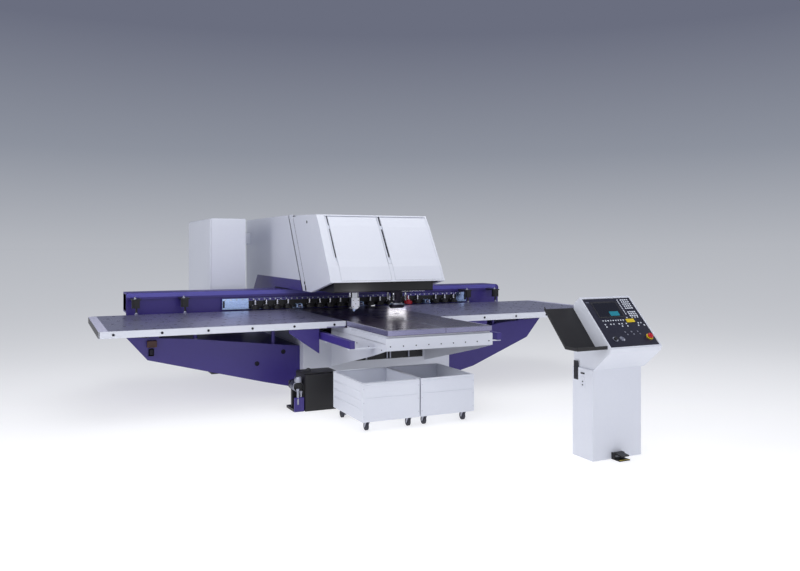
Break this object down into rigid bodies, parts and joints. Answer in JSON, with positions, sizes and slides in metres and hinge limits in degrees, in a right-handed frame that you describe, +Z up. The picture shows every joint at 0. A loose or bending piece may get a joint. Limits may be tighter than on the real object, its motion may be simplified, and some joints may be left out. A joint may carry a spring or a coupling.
{
  "type": "cnc punch press",
  "caption": "Sheet metal punch press with a hooded head, linear tool magazine, laser head, side tables, scrap carts and a console.",
  "frame": {"origin": "on the floor, at the centre of the four anchor bolts", "axes": "+X to the operator's right along the cross beam, +Y away from the operator, +Z up"},
  "size_m": [7.02, 8.138, 2.38],
  "materials": {
    "white_paint": "fine powder coat",
    "violet_paint": "satin enamel",
    "black_paint": "matt black",
    "dark_steel": "ground steel",
    "table_deck": "steel deck with brush fields",
    "pale_trim": "satin",
    "rail_metal": "ground steel",
    "screw_black": "black oxide",
    "red_plastic": "gloss",
    "knob_plastic": "matt",
    "caster_metal": "zinc plate",
    "wheel_rubber": "solid rubber",
    "key_white": "moulded keys",
    "screen_glass": "lit screen",
    "yellow_plastic": "moulded",
    "lamp_lens": "lit lens",
    "brush_bristle": "nylon bristle"
  },
  "bodies": {
    "machine": {"anchor_feet": "black_paint", "c_frame": "dark_steel", "lower_housing": "white_paint", "front_frame": "white_paint", "guide_bars": "violet_paint", "centre_plate_left": "dark_steel", "centre_plate_right": "dark_steel", "centre_table": "dark_steel", "die_holder": "dark_steel", "hood_shell": "white_paint", "hood_skirt": "black_paint", "seam_band": "white_paint", "side_panel_left": "white_paint", "accent_panel_left": "violet_paint", "side_panel_right": "white_paint", "rear_cover": "white_paint", "head_housing": "dark_steel", "outrigger_left": "violet_paint", "outrigger_right": "violet_paint", "power_unit": "black_paint", "cabinet_shell": "white_paint", "console_body": "white_paint", "console_head": "white_paint", "console_panel": "black_paint", "document_tray": "black_paint", "pedal_base": "black_paint"},
    "y_carriage": {"beam": "violet_paint", "beam_brackets": "black_paint", "side_table_left": "table_deck", "side_table_right": "table_deck", "edge_trims": "white_paint", "end_caps": "pale_trim", "roller_brackets": "violet_paint", "trim_screws": "screw_black"},
    "x_carriage": {"cross_rail": "rail_metal", "tool_cassettes": "black_paint", "red_cassette": "red_plastic", "clamp_bodies": "dark_steel"},
    "jaws": {"clamp_jaws": "dark_steel"},
    "ram": {"punch_ram": "dark_steel"},
    "laser": {"laser_head": "white_paint"},
    "flap": {"chute_flap": "dark_steel"},
    "door_left": {"hood_door_left": "white_paint"},
    "door_right": {"hood_door_right": "white_paint"},
    "cabinet_leaf": {"cabinet_door": "white_paint"},
    "estop": {"estop_button": "red_plastic"},
    "selector": {"selector_knob": "knob_plastic"},
    "pedal": {"foot_pedal": "black_paint"},
    "left_cart": {"left_cart_box": "white_paint"},
    "left_cart_rear_axle": {"left_cart_rear_wheels": "wheel_rubber"},
    "left_cart_caster_l": {"left_cart_fork_l": "caster_metal"},
    "left_cart_roller_l": {"left_cart_wheel_l": "wheel_rubber"},
    "left_cart_caster_r": {"left_cart_fork_r": "caster_metal"},
    "left_cart_roller_r": {"left_cart_wheel_r": "wheel_rubber"},
    "right_cart": {"right_cart_box": "white_paint"},
    "right_cart_rear_axle": {"right_cart_rear_wheels": "wheel_rubber"},
    "right_cart_caster_l": {"right_cart_fork_l": "caster_metal"},
    "right_cart_roller_l": {"right_cart_wheel_l": "wheel_rubber"},
    "right_cart_caster_r": {"right_cart_fork_r": "caster_metal"},
    "right_cart_roller_r": {"right_cart_wheel_r": "wheel_rubber"}
  },
  "joints": [
    {"name": "y_axis", "type": "slide", "parent": "machine", "child": "y_carriage", "axis": [0, 1, 0], "range_m": [-1.23, 0]},
    {"name": "x_axis", "type": "slide", "parent": "y_carriage", "child": "x_carriage", "axis": [1, 0, 0], "range_m": [-1.648, 0.852]},
    {"name": "clamp_open", "type": "hinge", "parent": "x_carriage", "child": "jaws", "pos_m": [0.398, 0.01, 1.044], "axis": [1, 0, 0], "range_deg": [-14, 0]},
    {"name": "ram_stroke", "type": "slide", "parent": "machine", "child": "ram", "axis": [0, 0, 1], "range_m": [-0.07, 0]},
    {"name": "laser_height", "type": "slide", "parent": "machine", "child": "laser", "axis": [0, 0, 1], "range_m": [-0.03, 0.06]},
    {"name": "flap_tilt", "type": "hinge", "parent": "machine", "child": "flap", "pos_m": [0.358, -1.55, 0.96], "axis": [1, 0, 0], "range_deg": [0, 40]},
    {"name": "left_door_swing", "type": "hinge", "parent": "machine", "child": "door_left", "pos_m": [0.075, -1.87555, 1.48683], "axis": [0, 0.5376, 0.8432], "range_deg": [0, 100]},
    {"name": "right_door_swing", "type": "hinge", "parent": "machine", "child": "door_right", "pos_m": [0.828, -1.87555, 1.48683], "axis": [0, 0.5376, 0.8432], "range_deg": [0, 100]},
    {"name": "cabinet_door_swing", "type": "hinge", "parent": "machine", "child": "cabinet_leaf", "pos_m": [-1.777, 2.436, 1.2], "axis": [0, 0, -1], "range_deg": [0, 110]},
    {"name": "estop_press", "type": "slide", "parent": "machine", "child": "estop", "axis": [0, 0.7071, -0.7071], "range_m": [0, 0.006], "stiffness_N_per_m": 800},
    {"name": "selector_turn", "type": "hinge", "parent": "machine", "child": "selector", "pos_m": [0.508, -5.61222, 1.10378], "axis": [0, -0.7071, 0.7071], "range_deg": [-45, 45]},
    {"name": "pedal_press", "type": "hinge", "parent": "machine", "child": "pedal", "pos_m": [0.646, -5.485, 0.044], "axis": [1, 0, 0], "range_deg": [0, 12], "stiffness_Nm_per_rad": 8, "springref_deg": -8.59},
    {"name": "left_cart_roll", "type": "slide", "parent": "machine", "child": "left_cart", "axis": [0, -1, 0], "range_m": [0, 1]},
    {"name": "left_cart_rear_spin", "type": "hinge", "parent": "left_cart", "child": "left_cart_rear_axle", "pos_m": [-0.7565, -2.868, 0.045], "axis": [1, 0, 0], "continuous": true},
    {"name": "left_cart_swivel_l", "type": "hinge", "parent": "left_cart", "child": "left_cart_caster_l", "pos_m": [-0.999, -3.556, 0.09], "axis": [0, 0, 1], "continuous": true},
    {"name": "left_cart_spin_l", "type": "hinge", "parent": "left_cart_caster_l", "child": "left_cart_roller_l", "pos_m": [-0.999, -3.531, 0.045], "axis": [1, 0, 0], "continuous": true},
    {"name": "left_cart_swivel_r", "type": "hinge", "parent": "left_cart", "child": "left_cart_caster_r", "pos_m": [-0.514, -3.556, 0.09], "axis": [0, 0, 1], "continuous": true},
    {"name": "left_cart_spin_r", "type": "hinge", "parent": "left_cart_caster_r", "child": "left_cart_roller_r", "pos_m": [-0.514, -3.531, 0.045], "axis": [1, 0, 0], "continuous": true},
    {"name": "right_cart_roll", "type": "slide", "parent": "machine", "child": "right_cart", "axis": [0, -1, 0], "range_m": [0, 1]},
    {"name": "right_cart_rear_spin", "type": "hinge", "parent": "right_cart", "child": "right_cart_rear_axle", "pos_m": [-0.0835, -2.868, 0.045], "axis": [1, 0, 0], "continuous": true},
    {"name": "right_cart_swivel_l", "type": "hinge", "parent": "right_cart", "child": "right_cart_caster_l", "pos_m": [-0.326, -3.556, 0.09], "axis": [0, 0, 1], "continuous": true},
    {"name": "right_cart_spin_l", "type": "hinge", "parent": "right_cart_caster_l", "child": "right_cart_roller_l", "pos_m": [-0.326, -3.531, 0.045], "axis": [1, 0, 0], "continuous": true},
    {"name": "right_cart_swivel_r", "type": "hinge", "parent": "right_cart", "child": "right_cart_caster_r", "pos_m": [0.159, -3.556, 0.09], "axis": [0, 0, 1], "continuous": true},
    {"name": "right_cart_spin_r", "type": "hinge", "parent": "right_cart_caster_r", "child": "right_cart_roller_r", "pos_m": [0.159, -3.531, 0.045], "axis": [1, 0, 0], "continuous": true}
  ]
}
